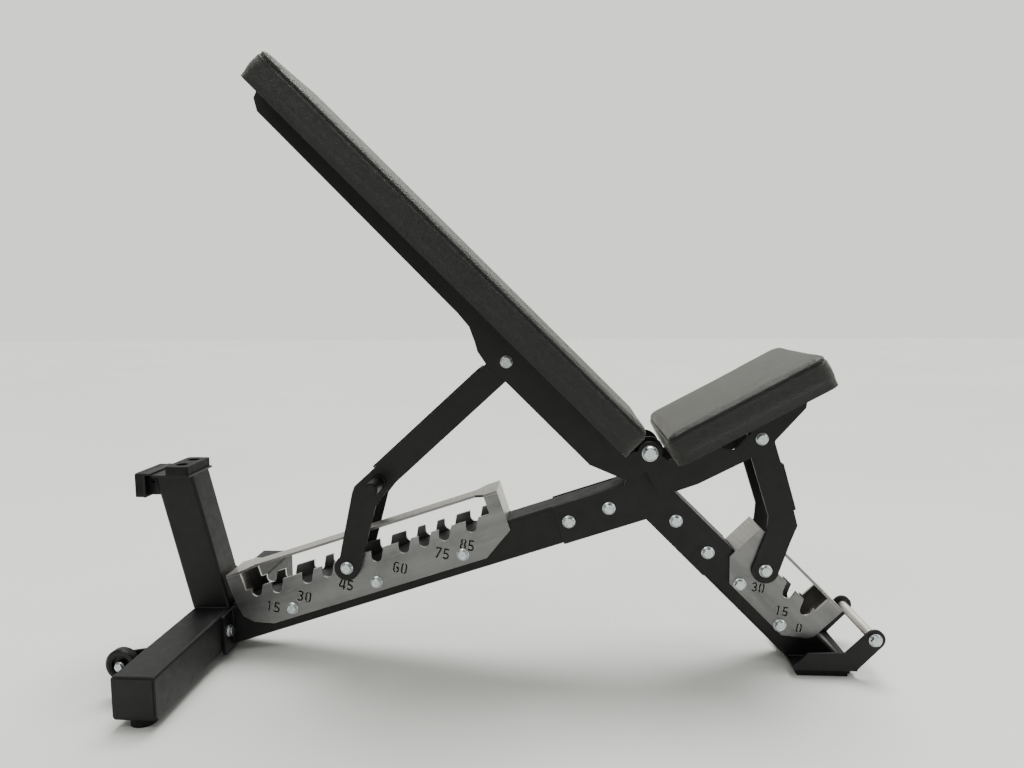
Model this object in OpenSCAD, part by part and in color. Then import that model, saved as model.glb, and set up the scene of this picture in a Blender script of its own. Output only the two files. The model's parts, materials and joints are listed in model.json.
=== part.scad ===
// Adjustable weight bench with a laddered backrest and a laddered seat.
// +X runs along the bench towards the front foot, +Y across it, +Z up.
// The origin is on the floor, midway along and across the bench.

/* [Tubes] */
// Outside width of the square tubes
tube = 75; // [70:1:80]
// Wall of the square tubes
wall = 3; // [2:0.5:5]
// Outside corner radius of the square tubes
corner_r = 6; // [4:0.5:8]
// Slope of the spine tube, in degrees
spine_slope = 18.2; // [17.8:0.1:18.6]
// Height of the tubes' junction above the floor
junction_z = 329.7; // [328:0.1:331]
// Half length of the rear stabiliser, with its end caps
stabiliser_half = 324; // [300:1:350]
// Lean of the rear post from the vertical, in degrees
post_lean = 13.5; // [12:0.5:15]
// Height of the top of the rear post's rest pad
bumper_top = 382.7; // [376:0.1:382.7]

/* [Plates] */
// Thickness of the laser-cut plates
plate_t = 5; // [4:0.5:5]
// Width of a ladder slot
slot_w = 21; // [18:1:24]
// Height of the numerals cut in the back ladder
numeral_h = 22; // [16:1:23]
// Height of the numerals cut in the seat ladder
seat_numeral_h = 19; // [14:1:20]

/* [Backrest] */
// Angle of the backrest above the horizontal
back_angle = 45; // [0:5:85]
// Length of the back pad
back_pad_len = 953; // [900:1:956]
// Width of both pads
pad_w = 290; // [260:1:300]
// Thickness of the back pad
back_pad_t = 59; // [52:1:60]
// Distance from the main pivot to the back strut's pivot
back_pin_r = 317; // [316:0.5:318]
// Length of the back strut between centres
back_strut_len = 510.5; // [510:0.1:511]

/* [Seat] */
// Angle of the seat above the horizontal
seat_angle = 28.5; // [0:0.5:28.5]
// Length of the seat pad
seat_pad_len = 310; // [280:1:320]
// Thickness of the seat pad
seat_pad_t = 58; // [50:1:60]
// Distance from the main pivot to the seat strut's pivot
seat_pin_r = 207.5; // [207:0.1:208]
// Length of the seat strut between centres
seat_strut_len = 254.5; // [254:0.1:255]

/* [Wheels and feet] */
// Diameter of the transport wheels
wheel_d = 58; // [50:1:62]
// Width of the transport wheels
wheel_w = 20; // [16:1:24]
// Gap from the floor to the stabiliser
foot_h = 17.5; // [15:0.5:20]

/* [Hidden] */

$fn = 64;
eps = 0.01;

// Colours
powder_black = [0.07, 0.07, 0.075];
vinyl_black = [0.05, 0.05, 0.05];
rubber_black = [0.03, 0.03, 0.03];
bare_steel = [0.55, 0.55, 0.56];
zinc = [0.75, 0.78, 0.80];

// Layers outward from the middle plane
half_tube = tube / 2;
ladder_y = half_tube;
seat_strut_y = ladder_y + 7;
seat_frame_y = ladder_y + 15;
back_strut_y = seat_frame_y;
back_frame_y = ladder_y + 21.5;
pin_clearance = 0.05;
head_h = 9;

// The spine and the leg meet at the junction, their centre lines' crossing
junction = [292.4, junction_z];
spine_dir = [cos(spine_slope), sin(spine_slope)];
spine_up = [-sin(spine_slope), cos(spine_slope)];
leg_dir = [cos(45), -sin(45)];
leg_up = [sin(45), cos(45)];
function on_spine(s, h) = junction + s * spine_dir + h * spine_up;
function on_leg(s, h) = junction + s * leg_dir + h * leg_up;

// The main pivot carries the backrest and the seat
pivot = [285.3, 418];

// Rear stabiliser and post
stabiliser_x = -581;
stabiliser_top = foot_h + tube;
post_foot = [stabiliser_x, stabiliser_top];
bumper_t = 17;
cap_t = 4;
post_top_z = bumper_top - bumper_t - cap_t;

// Axle lines of the ladders, as heights over the tubes' centre lines
back_axle_h = half_tube + slot_w / 2;
seat_axle_h = half_tube + 15.5;

// Pins of the struts for any angle of the backrest or the seat
back_pin_offset = 12.3;
seat_pin_offset = 21;
function on_circle(centre, r, angle) = centre + r * [cos(angle), sin(angle)];
function back_pin(angle) = on_circle(pivot, back_pin_r, 180 + back_pin_offset - angle);
function seat_pin(angle) = on_circle(pivot, seat_pin_r, angle - seat_pin_offset);

// Where a strut's end lies on its axle line, as a distance along the tube
function back_slot(angle) =
    let (d = back_pin(angle) - junction, h = d * spine_up - back_axle_h)
    d * spine_dir - sqrt(pow(back_strut_len, 2) - h * h);
function seat_slot(angle) =
    let (d = seat_pin(angle) - junction, h = d * leg_up - seat_axle_h)
    d * leg_dir + sqrt(pow(seat_strut_len, 2) - h * h);
function heading(from, to) = atan2(to[1] - from[1], to[0] - from[0]);

// Slots along the spine, from flat to upright; the fifth takes the strut at 45 degrees
back_slots = [-799.5, -758.3, -693.1, -649.7, back_slot(45), -545.4, -488, -445.7, -404, -348.2];
seat_slots = [for (a = [28.5, 14, 0]) seat_slot(a)];
back_strut_end = on_spine(back_slot(back_angle), back_axle_h);
seat_strut_end = on_leg(seat_slot(seat_angle), seat_axle_h);
back_strut_heading = heading(back_pin(back_angle), back_strut_end);
seat_strut_heading = heading(seat_pin(seat_angle), seat_strut_end);

// Bolts through the frame, as [distance from the junction, height] on each tube
spine_bolts = [[-742, 0], [-562, 0], [-381, 2], [-165, 2], [-84, 4]];
leg_bolts = [[65, 0], [151, 0], [237.5, 0], [348.4, -2]];
frame_bolt_points = concat(
    [for (p = spine_bolts) on_spine(p[0], p[1])],
    [for (p = leg_bolts) on_leg(p[0], p[1])]
);
bolt_d = 12;
bolt_hole_d = 12.6;
pin_hole_d = 12.4;
head_flange_d = 24.5;
pin_flange_d = 23;
head_across = 17;

// Front foot
foot_pad_t = 14;
foot_plate_t = 5;
foot_left = 553;
foot_right = 669;
foot_ear_y = 81;
handle_at = [698.7, 75.3];

// Transport wheels
wheel_at = [-658.6, 63];
wheel_y = 210;

// Backrest, drawn lying flat with u along it from the main pivot
back_rear = -35;
back_pad_start = 38;
cross_t = 4;
back_pad_rear = back_rear + cross_t;
back_cross_u = [90, 440, 780];
// Seat, drawn lying flat with u along it from the main pivot
seat_rear = -29;
seat_pad_start = 32;
seat_cross_u = [60, 225];
pad_corner_r = 20;
pad_near_r = 16;
pad_outer_r = 8;
board_t = 12;
board_inset = 5;

// ---------- general shapes ----------

// A plate whose outline is drawn in X and Z, from y to y + t
module plate(y, t) {
    translate([0, y + t, 0])
        rotate([90, 0, 0])
            linear_extrude(t)
                children();
}

// The same shape on both sides of the middle plane
module both_sides() {
    children();
    mirror([0, 1, 0])
        children();
}

// A disc in an outline
module disc(at, r) {
    translate(at)
        circle(r);
}

// A round bar along Y
module bar_y(at, y, length, d) {
    translate([at[0], y + length, at[1]])
        rotate([90, 0, 0])
            cylinder(h = length, d = d);
}

// Holes along Y through a thin plate
module holes_y(points, d, reach = 120) {
    for (p = points)
        bar_y(p, -reach, 2 * reach, d);
}

// A flanged hexagon head with chamfered corners, its seat at y = 0 and its top towards -Y
module hex_head(flange_d, across, height) {
    rim = height * 0.2;
    corners = across / cos(30);
    rotate([90, 0, 0]) {
        cylinder(h = rim, d = flange_d);
        translate([0, 0, rim - eps])
            cylinder(h = rim, d1 = flange_d - 1, d2 = corners - 1);
        intersection() {
            cylinder(h = height, d = corners, $fn = 6);
            cylinder(h = height, d1 = corners + 2.4 * height, d2 = across * 0.94);
        }
    }
}

// A flanged bolt along Y, its head on the -Y side at y
module bolt_y(at, y, length, d, flange_d, across, height) {
    translate([at[0], y, at[1]])
        hex_head(flange_d, across, height);
    bar_y(at, y - eps, length, d);
}

// A flanged nut along Y on the +Y side at y
module nut_y(at, y, bore_d, flange_d, across, height) {
    difference() {
        translate([at[0], y, at[1]])
            rotate([0, 0, 180])
                hex_head(flange_d, across, height);
        bar_y(at, y - 1, height + 2, bore_d);
    }
}

// A washer or spacer tube along Y
module ring_y(at, y, length, outer_d, inner_d) {
    difference() {
        bar_y(at, y, length, outer_d);
        bar_y(at, y - 1, length + 2, inner_d);
    }
}

// Puts a shape drawn flat about the main pivot at the backrest's angle
module at_back_angle() {
    translate([pivot[0], 0, pivot[1]])
        rotate([0, back_angle, 0])
            children();
}

// Puts a shape drawn flat about the main pivot at the seat's angle
module at_seat_angle() {
    translate([pivot[0], 0, pivot[1]])
        rotate([0, -seat_angle, 0])
            children();
}

// Puts a shape drawn from a strut's pin towards its lower end
module at_strut(pin, angle) {
    translate([pin[0], 0, pin[1]])
        rotate([0, -angle, 0])
            children();
}

// A rectangle with round corners, its middle at the origin
module rounded_box(x, y, r) {
    square([x - 2 * r, y], center = true);
    square([x, y - 2 * r], center = true);
    for (sx = [-1, 1])
        for (sy = [-1, 1])
            disc([sx * (x / 2 - r), sy * (y / 2 - r)], r);
}

// The outside of a square tube, or its inside, along Z
module tube_bar(length, inside = false) {
    width = inside ? tube - 2 * wall : tube;
    r = inside ? corner_r - wall : corner_r;
    linear_extrude(length)
        rounded_box(width, width, r);
}

// What lies between the ends given by an outline wider than the tube
tube_reach = half_tube + 1;
module between_ends(outline) {
    intersection() {
        children();
        plate(-tube_reach, 2 * tube_reach)
            polygon(outline);
    }
}

// ---------- numerals ----------

// A straight stroke of a numeral
module stroke(a, b, w) {
    translate(a)
        rotate(heading(a, b))
            translate([0, -w / 2])
                square([norm(b - a), w]);
}

// A ring of a numeral
module ring(at, r, w) {
    difference() {
        disc(at, r);
        disc(at, r - w);
    }
}

// One stencil digit, 10 wide and 17 high, before scaling
module digit(n) {
    w = 2.6;
    if (n == 0) difference() {
        union() {
            ring([5, 4.6], 4.6, w);
            ring([5, 12.4], 4.6, w);
            translate([0.4, 4.6]) square([w, 7.8]);
            translate([9.6 - w, 4.6]) square([w, 7.8]);
        }
        translate([3, 4.6]) square([4, 7.8]);
        translate([4.2, -1]) square([1.6, 19]);
    }
    if (n == 1) {
        stroke([5, 0], [5, 17], w);
        stroke([1.6, 13.4], [4.4, 16], w * 0.8);
    }
    if (n == 3) difference() {
        union() {
            ring([4.6, 12.4], 4.6, w);
            ring([4.6, 4.9], 4.9, w);
        }
        translate([-1, 3.6]) square([5, 9.6]);
    }
    if (n == 4) {
        stroke([7.8, 0], [7.8, 17], w);
        stroke([0.8, 5.4], [3.9, 16], w);
        stroke([0.2, 4.4], [10.4, 4.4], w);
    }
    if (n == 5) difference() {
        union() {
            ring([4.6, 5.2], 5.2, w);
            translate([0.8, 14.4]) square([8, w]);
            translate([0.8, 8.6]) square([w, 6.2]);
        }
        translate([-1, 3.4]) square([4.6, 4.2]);
    }
    if (n == 6) difference() {
        union() {
            ring([5, 4.9], 4.9, w);
            ring([5.2, 12], 5.0, w);
            translate([0.2, 4.9]) square([w, 7.1]);
        }
        translate([5.4, 9.9]) square([6, 4.4]);
        translate([2.9, 7]) square([1.6, 6]);
        translate([4.2, -1]) square([1.6, 4]);
    }
    if (n == 7) {
        translate([0.6, 14.4]) square([9, w]);
        stroke([3.2, 0], [8.2, 15], w);
    }
    if (n == 8) difference() {
        union() {
            ring([5, 12.5], 4.5, w);
            ring([5, 4.9], 4.9, w);
        }
        translate([4.2, -1]) square([1.6, 19]);
    }
}

// A number whose middle is at the origin, from a list of digits
module number(digits, height) {
    scale(height / 17)
        for (i = [0 : len(digits) - 1])
            translate([(i - len(digits) / 2) * 12 + 1, -8.5])
                digit(digits[i]);
}

// ---------- rear stabiliser ----------

module rear_stabiliser() {
    inner_half = stabiliser_half - 4;
    color(powder_black)
        difference() {
            translate([stabiliser_x, inner_half, foot_h + half_tube])
                rotate([90, 0, 0])
                    tube_bar(2 * inner_half);
            translate([stabiliser_x, inner_half + 1, foot_h + half_tube])
                rotate([90, 0, 0])
                    tube_bar(2 * inner_half + 2, inside = true);
            for (side = [-1, 1])
                translate([stabiliser_x, side * 57, foot_h + half_tube])
                    rotate([0, 90, 0])
                        cylinder(h = tube, d = bolt_hole_d);
        }
}

// Plastic caps: a face plate and a plug inside the tube
module stabiliser_end_caps() {
    plug = tube - 2 * wall - 0.4;
    color(powder_black)
        both_sides()
            translate([stabiliser_x, stabiliser_half, foot_h + half_tube])
                rotate([90, 0, 0]) {
                    translate([0, 0, 1.5])
                        linear_extrude(2.5)
                            rounded_box(tube, tube, corner_r);
                    linear_extrude(1.6)
                        rounded_box(tube - 8, tube - 8, 4);
                    translate([0, 0, 3.8])
                        linear_extrude(20.2)
                            rounded_box(plug, plug, corner_r - wall);
                }
}

module stabiliser_feet() {
    color(rubber_black)
        both_sides()
            translate([stabiliser_x, stabiliser_half - 29, 0]) {
                cylinder(h = foot_h - 4, d = 42);
                translate([0, 0, foot_h - 4.5])
                    cylinder(h = 4.5, d = 34);
            }
}

// ---------- rear post ----------

function post_x(z) = post_foot[0] - (z - post_foot[1]) * tan(post_lean);
post_half = half_tube / cos(post_lean);

module on_post_line() {
    translate([post_foot[0], 0, post_foot[1]])
        rotate([0, -post_lean, 0])
            children();
}

module rear_post() {
    low = stabiliser_top;
    high = post_top_z;
    spare = 60;
    length = high - low + 2 * spare;
    color(powder_black) {
        between_ends([
            [post_x(low) - tube, low], [post_x(low) + tube, low],
            [post_x(high) + tube, high], [post_x(high) - tube, high]
        ])
            on_post_line()
                translate([0, 0, -spare])
                    difference() {
                        tube_bar(length);
                        translate([0, 0, -1])
                            tube_bar(length + 2, inside = true);
                    }
        difference() {
            translate([post_x(high) - post_half, -50, high])
                cube([2 * post_half, 100, cap_t]);
            for (y = [-24, 24])
                translate([bumper_x, y, high - 1])
                    cylinder(h = cap_t + 2, d = 7);
        }
    }
}

bumper_x = post_x(post_top_z) + post_half - 26;

module post_bumper() {
    color(rubber_black)
        difference() {
            translate([bumper_x, 0, bumper_top - bumper_t])
                linear_extrude(bumper_t)
                    rounded_box(46, 100, 5);
            for (y = [-24, 24])
                translate([bumper_x, y, bumper_top - bumper_t - 1]) {
                    cylinder(h = bumper_t + 2, d = 7);
                    translate([0, 0, 1 + bumper_t - 9])
                        cylinder(h = 10, d = 23);
                }
        }
}

module bumper_screws() {
    seat_z = bumper_top - 9;
    color(zinc)
        for (y = [-24, 24])
            translate([bumper_x, y, 0]) {
                translate([0, 0, seat_z])
                    difference() {
                        cylinder(h = 5, d = 13);
                        translate([0, 0, 2])
                            cylinder(h = 4, d = 6, $fn = 6);
                    }
                translate([0, 0, seat_z - 18])
                    cylinder(h = 18.1, d = 6);
            }
}

// Bent bracket behind the post on which the bench stands when stored upright
storage_x = -717;
storage_z = 321;
storage_h = 48;
storage_block = 16;

module storage_bracket() {
    face_x = storage_x + storage_block;
    top = storage_z + storage_h;
    color(powder_black) {
        translate([face_x, -50, storage_z])
            cube([4, 100, storage_h]);
        plate(-50, 100)
            polygon([
                [face_x + 3, top - 4], [face_x + 3, top],
                [post_x(top) - post_half, top], [post_x(top - 4) - post_half, top - 4]
            ]);
        for (y = [-32, 28])
            difference() {
                plate(y, 4)
                    polygon([
                        [face_x + 3, storage_z + 2], [face_x + 3, top - 3],
                        [post_x(top - 3) - post_half, top - 3],
                        [post_x(storage_z + 2) - post_half, storage_z + 2]
                    ]);
                translate([face_x + 7, y - 1, top - 22])
                    cube([7, 6, 4]);
            }
    }
}

module storage_bumper() {
    color(rubber_black)
        translate([storage_x, 0, storage_z + storage_h / 2])
            rotate([0, 90, 0])
                linear_extrude(storage_block)
                    rounded_box(storage_h, 100, 4);
}

// ---------- spine, leg and their plates ----------

flange_t = 6;
flange_x = stabiliser_x + half_tube;
spine_foot_x = flange_x + flange_t;
function spine_z(x, h) = junction[1] + (h + (x - junction[0]) * sin(spine_slope)) / cos(spine_slope);

// Crossing of a line along the spine at height h with the leg's face at height k
function spine_meets_leg(h, k) =
    let (
        base = junction + h * spine_up,
        reach = (k - (base - junction) * leg_up) / (spine_dir * leg_up)
    )
    base + reach * spine_dir;

module spine_tube() {
    start = -980;
    length = 1080;
    color(powder_black)
        difference() {
            between_ends([
                [spine_foot_x, spine_z(spine_foot_x, -tube_reach)],
                spine_meets_leg(-tube_reach, -half_tube),
                spine_meets_leg(tube_reach, -half_tube),
                [spine_foot_x, spine_z(spine_foot_x, tube_reach)]
            ])
                on_spine_line()
                    translate([start, 0, 0])
                        rotate([0, 90, 0])
                            tube_bar(length);
            on_spine_line()
                translate([start - 1, 0, 0])
                    rotate([0, 90, 0])
                        tube_bar(length + 2, inside = true);
            holes_y([for (p = spine_bolts) on_spine(p[0], p[1])], bolt_hole_d);
        }
}

module spine_flange() {
    color(powder_black)
        difference() {
            translate([flange_x, 0, foot_h + half_tube - 4])
                rotate([0, 90, 0])
                    linear_extrude(flange_t)
                        rounded_box(tube + 6, 152, 6);
            for (side = [-1, 1])
                translate([flange_x - 1, side * 57, foot_h + half_tube])
                    rotate([0, 90, 0])
                        cylinder(h = flange_t + 2, d = bolt_hole_d);
        }
}

module flange_bolts() {
    color(zinc)
        for (side = [-1, 1])
            translate([flange_x + flange_t, side * 57, foot_h + half_tube])
                rotate([0, 0, 90]) {
                    hex_head(head_flange_d, head_across, head_h);
                    rotate([-90, 0, 0])
                        cylinder(h = 40, d = bolt_d);
                }
}

// The leg's lid lies along the spine's top face
module front_leg() {
    low = foot_pad_t + foot_plate_t;
    lid = half_tube - 4;
    start = -140;
    length = 660;
    lean = tube_reach * sqrt(2);
    across = junction[0] + junction[1];
    color(powder_black)
        difference() {
            between_ends([
                spine_meets_leg(half_tube, -tube_reach),
                spine_meets_leg(half_tube, tube_reach),
                [across + lean - low, low],
                [across - lean - low, low]
            ])
                on_leg_line()
                    translate([start, 0, 0])
                        rotate([0, 90, 0])
                            tube_bar(length);
            between_ends([
                spine_meets_leg(lid, -tube_reach),
                spine_meets_leg(lid, tube_reach),
                [across + lean - low + 1, low - 1],
                [across - lean - low + 1, low - 1]
            ])
                on_leg_line()
                    translate([start, 0, 0])
                        rotate([0, 90, 0])
                            tube_bar(length, inside = true);
            holes_y([for (p = leg_bolts) on_leg(p[0], p[1])], bolt_hole_d);
        }
}

// V-shaped plate that joins the tubes and carries the main pivot on an ear
module junction_plate() {
    edge = half_tube + 0.5;
    spine_arm = 187;
    leg_arm = 178;
    ear_r = 28;
    color(powder_black)
        difference() {
            plate(ladder_y, plate_t)
                union() {
                    polygon([
                        on_spine(-spine_arm, edge), on_spine(-spine_arm, -edge),
                        spine_meets_leg(-edge, -edge),
                        on_leg(leg_arm, -edge), on_leg(leg_arm, edge),
                        [pivot[0] + ear_r + 3, pivot[1] - 60],
                        [pivot[0] + ear_r - 0.5, pivot[1] - 5],
                        [pivot[0] - ear_r + 0.5, pivot[1] - 5],
                        [pivot[0] - ear_r - 17, spine_z(pivot[0] - ear_r - 17, edge)]
                    ]);
                    disc(pivot, ear_r);
                }
            holes_y([for (i = [3 : 6]) frame_bolt_points[i]], bolt_hole_d);
            holes_y([pivot], 16.4);
        }
}

module junction_plate_left() {
    mirror([0, 1, 0])
        junction_plate();
}

module junction_plate_right() {
    junction_plate();
}

// ---------- ladders ----------

keeper_h = 97;
keeper_t = 5;
tooth_h = back_axle_h + 14;
first_slot_rise = 5.5;
back_tabs = [-849, -820, -306, -278];
back_numbers = [[1, 5], [3, 0], [4, 5], [6, 0], [7, 5], [8, 5]];
back_number_at = [[-779, 14], [-711, 15], [-622, 13], [-508, 13], [-419, 16], [-367, 17]];
slot_flare = [0.05, 0.17];

// A slot: a round bottom on the axle line, then sides that spread a little on the way up
module slot(s, h, lean) {
    reach = 60;
    translate([s, h])
        rotate(lean) {
            circle(slot_w / 2);
            polygon([
                [-slot_w / 2, 0], [slot_w / 2, 0],
                [slot_w / 2 + slot_flare[1] * reach, reach],
                [-slot_w / 2 - slot_flare[0] * reach, reach]
            ]);
        }
}

// Side plate of the back ladder, drawn along and above the spine's centre line
module back_ladder_outline() {
    inner_left = back_tabs[1];
    inner_right = back_tabs[2];
    difference() {
        polygon([
            [back_tabs[0], keeper_h], [back_tabs[0], 46], [-844, 14], [-826, -4],
            [-788, -19], [-339, -19], [back_tabs[3], 20], [back_tabs[3], keeper_h],
            [inner_right, keeper_h], [inner_right, tooth_h],
            [inner_left, tooth_h], [inner_left, keeper_h]
        ]);
        for (i = [0 : len(back_slots) - 1])
            slot(back_slots[i], back_axle_h + (i == 0 ? first_slot_rise : 0), -spine_slope);
        for (i = [0 : len(back_numbers) - 1])
            translate(back_number_at[i])
                rotate(-28)
                    number(back_numbers[i], numeral_h);
    }
}

module on_spine_line() {
    translate([junction[0], 0, junction[1]])
        rotate([0, -spine_slope, 0])
            children();
}

module back_ladder_side(side) {
    color(bare_steel)
        difference() {
            on_spine_line()
                plate(side > 0 ? ladder_y : -ladder_y - plate_t, plate_t)
                    back_ladder_outline();
            holes_y([for (i = [0 : 2]) frame_bolt_points[i]], bolt_hole_d);
        }
}

module back_ladder_left() {
    back_ladder_side(-1);
}

module back_ladder_right() {
    back_ladder_side(1);
}

// Strip over the axle's path, wide at its ends where it meets the end plates
module back_ladder_keeper() {
    wide = 2 * (ladder_y + plate_t);
    inner = 2 * ladder_y;
    narrow = 44;
    left = back_tabs[0];
    right = back_tabs[3];
    color(bare_steel)
        on_spine_line() {
            translate([0, 0, keeper_h])
                linear_extrude(keeper_t)
                    polygon([
                        [left, -wide / 2], [left + 30, -wide / 2], [left + 52, -narrow / 2],
                        [right - 48, -narrow / 2], [right - 28, -wide / 2], [right, -wide / 2],
                        [right, wide / 2], [right - 28, wide / 2], [right - 48, narrow / 2],
                        [left + 52, narrow / 2], [left + 30, wide / 2], [left, wide / 2]
                    ]);
            translate([left, -inner / 2, half_tube + 1])
                cube([5, inner, keeper_h - half_tube - 1 + eps]);
            translate([right - 5, -inner / 2, half_tube + 1])
                cube([5, inner, keeper_h - half_tube - 1 + eps]);
        }
}

seat_tooth_h = seat_axle_h + 13;
seat_keeper_h = 98;
seat_tabs = [186, 222, 375, 410];
seat_slot_lean = 23;
seat_numbers = [[3, 0], [1, 5], [0]];

// Side plate of the seat ladder, drawn along and above the leg's centre line
module seat_ladder_outline() {
    difference() {
        polygon([
            [seat_tabs[0], seat_keeper_h], [seat_tabs[0], 24], [224, -13], [366, -13],
            [404, 18], [seat_tabs[3], 30], [seat_tabs[3], seat_keeper_h],
            [seat_tabs[2], seat_keeper_h], [seat_tabs[2], seat_tooth_h],
            [seat_slots[0], seat_tooth_h], [222, seat_tooth_h], [200, seat_keeper_h]
        ]);
        for (s = seat_slots)
            slot(s, seat_axle_h, seat_slot_lean);
        for (i = [0 : 2])
            translate([seat_slots[i] + 17.5, 20])
                rotate(36)
                    number(seat_numbers[i], seat_numeral_h);
    }
}

module on_leg_line() {
    translate([junction[0], 0, junction[1]])
        rotate([0, 45, 0])
            children();
}

module seat_ladder_side(side) {
    color(bare_steel)
        difference() {
            on_leg_line()
                plate(side > 0 ? ladder_y : -ladder_y - plate_t, plate_t)
                    seat_ladder_outline();
            holes_y([for (i = [7, 8]) frame_bolt_points[i]], bolt_hole_d);
        }
}

module seat_ladder_left() {
    seat_ladder_side(-1);
}

module seat_ladder_right() {
    seat_ladder_side(1);
}

module seat_ladder_keeper() {
    wide = 2 * (ladder_y + plate_t);
    inner = 2 * ladder_y;
    narrow = 44;
    left = seat_tabs[0];
    right = seat_tabs[3];
    color(bare_steel)
        on_leg_line() {
            translate([0, 0, seat_keeper_h])
                linear_extrude(keeper_t)
                    polygon([
                        [left, -wide / 2], [left + 16, -wide / 2], [left + 34, -narrow / 2],
                        [right - 44, -narrow / 2], [right - 24, -wide / 2], [right, -wide / 2],
                        [right, wide / 2], [right - 24, wide / 2], [right - 44, narrow / 2],
                        [left + 34, narrow / 2], [left + 16, wide / 2], [left, wide / 2]
                    ]);
            translate([left, -inner / 2, half_tube + 1])
                cube([5, inner, seat_keeper_h - half_tube - 1 + eps]);
            translate([right - 5, -inner / 2, half_tube + 1])
                cube([5, inner, seat_keeper_h - half_tube - 1 + eps]);
        }
}

// ---------- frame fasteners ----------

module frame_bolts() {
    grip = ladder_y + plate_t;
    color(zinc)
        for (p = frame_bolt_points)
            bolt_y(p, -grip, 2 * grip + head_h, bolt_d, head_flange_d, head_across, head_h);
}

module frame_nuts() {
    color(zinc)
        for (p = frame_bolt_points)
            nut_y(p, ladder_y + plate_t, bolt_d + 0.2, head_flange_d, head_across, head_h);
}

// ---------- front foot ----------

module front_foot_bracket() {
    ear_r = 18.5;
    low = foot_pad_t;
    color(powder_black) {
        translate([foot_left, -foot_ear_y - plate_t, low])
            cube([foot_right - foot_left, 2 * (foot_ear_y + plate_t), foot_plate_t]);
        both_sides()
            difference() {
                plate(foot_ear_y, plate_t)
                    union() {
                        polygon([
                            [foot_left, low + 3], [foot_left + 24, 46], [647, 49],
                            handle_at + ear_r * [-0.7, 0.714],
                            handle_at + ear_r * [0.714, -0.7], [foot_right, low + 3]
                        ]);
                        disc(handle_at, ear_r);
                    }
                holes_y([handle_at], bolt_hole_d);
            }
    }
}

module front_foot_pad() {
    color(rubber_black) {
        translate([foot_left + 9, -78, 0])
            cube([92, 156, 8]);
        translate([foot_left + 6, -81, 7])
            cube([98, 162, foot_pad_t - 7]);
    }
}

module lift_handle() {
    color([0.75, 0.74, 0.70])
        ring_y(handle_at, -foot_ear_y, 2 * foot_ear_y, 18, 12.4);
}

module lift_handle_bolts() {
    outer = foot_ear_y + plate_t;
    color(zinc) {
        bolt_y(handle_at, -outer, 2 * outer + head_h, bolt_d, head_flange_d, head_across, head_h);
        nut_y(handle_at, outer, bolt_d + 0.2, head_flange_d, head_across, head_h);
    }
}

// ---------- main pivot ----------

pivot_d = 16;
stack = back_frame_y + plate_t;

module main_pivot_bolt() {
    color(zinc) {
        bolt_y(pivot, -stack - 2.4, 2 * stack + 16, pivot_d, 28, 22, 10);
        ring_y(pivot, -stack - 2.4, 2.2, 30, pivot_d - 0.2);
    }
}

module main_pivot_nut() {
    color(zinc)
        nut_y(pivot, stack + 0.3, pivot_d + 0.2, 30, 22, 12);
}

// A sleeve between the junction plates and a spacer outside each of them
module main_pivot_spacers() {
    color(bare_steel) {
        ring_y(pivot, -ladder_y, 2 * ladder_y, 28, pivot_d + 0.2);
        both_sides()
            ring_y(pivot, ladder_y + plate_t, seat_frame_y - ladder_y - plate_t - 0.2, 30, pivot_d + 0.2);
    }
}

// ---------- wheels ----------

module wheel_brackets() {
    ear = 17;
    color(powder_black)
        both_sides()
            difference() {
                plate(wheel_y - 6, 5)
                    union() {
                        disc(wheel_at, ear);
                        polygon([
                            wheel_at + [0, ear], wheel_at - [0, ear],
                            [stabiliser_x - half_tube, wheel_at[1] - 26],
                            [stabiliser_x - half_tube, wheel_at[1] + 24]
                        ]);
                    }
                holes_y([wheel_at], 8.4, 400);
            }
}

module wheel_axle_bolts() {
    outer = wheel_y + wheel_w + 0.5;
    color(zinc)
        for (side = [-1, 1])
            mirror([0, side > 0 ? 1 : 0, 0]) {
                bolt_y(wheel_at, -outer, wheel_w + 18, 8, 17, 13, 6);
                nut_y(wheel_at, -wheel_y + 6, 8.2, 17, 13, 7);
            }
}

module wheel_tyre(side) {
    r = wheel_d / 2;
    color(rubber_black)
        translate([wheel_at[0], side * (wheel_y + wheel_w / 2), wheel_at[1]])
            rotate([90, 0, 0])
                rotate_extrude()
                    polygon([
                        [r - 9, -wheel_w / 2 + 1], [r - 3, -wheel_w / 2 + 1], [r, -wheel_w / 2 + 4],
                        [r, wheel_w / 2 - 4], [r - 3, wheel_w / 2 - 1], [r - 9, wheel_w / 2 - 1]
                    ]);
}

module wheel_hub(side) {
    r = wheel_d / 2 - 9;
    half = wheel_w / 2;
    web = 4;
    color(rubber_black)
        translate([wheel_at[0], side * (wheel_y + half), wheel_at[1]])
            rotate([90, 0, 0])
                rotate_extrude()
                    polygon([
                        [4.05, -half + 0.2], [9, -half + 0.2], [9, -web / 2], [r - 4, -web / 2],
                        [r - 3, -half + 2], [r, -half + 2], [r, half - 2], [r - 3, half - 2],
                        [r - 4, web / 2], [9, web / 2], [9, half - 0.2], [4.05, half - 0.2]
                    ]);
}

module wheel_tyre_left() {
    wheel_tyre(-1);
}

module wheel_hub_left() {
    wheel_hub(-1);
}

module wheel_tyre_right() {
    wheel_tyre(1);
}

module wheel_hub_right() {
    wheel_hub(1);
}

// ---------- backrest ----------

back_pin_flat = back_pin_r * [-cos(back_pin_offset), -sin(back_pin_offset)];

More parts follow.
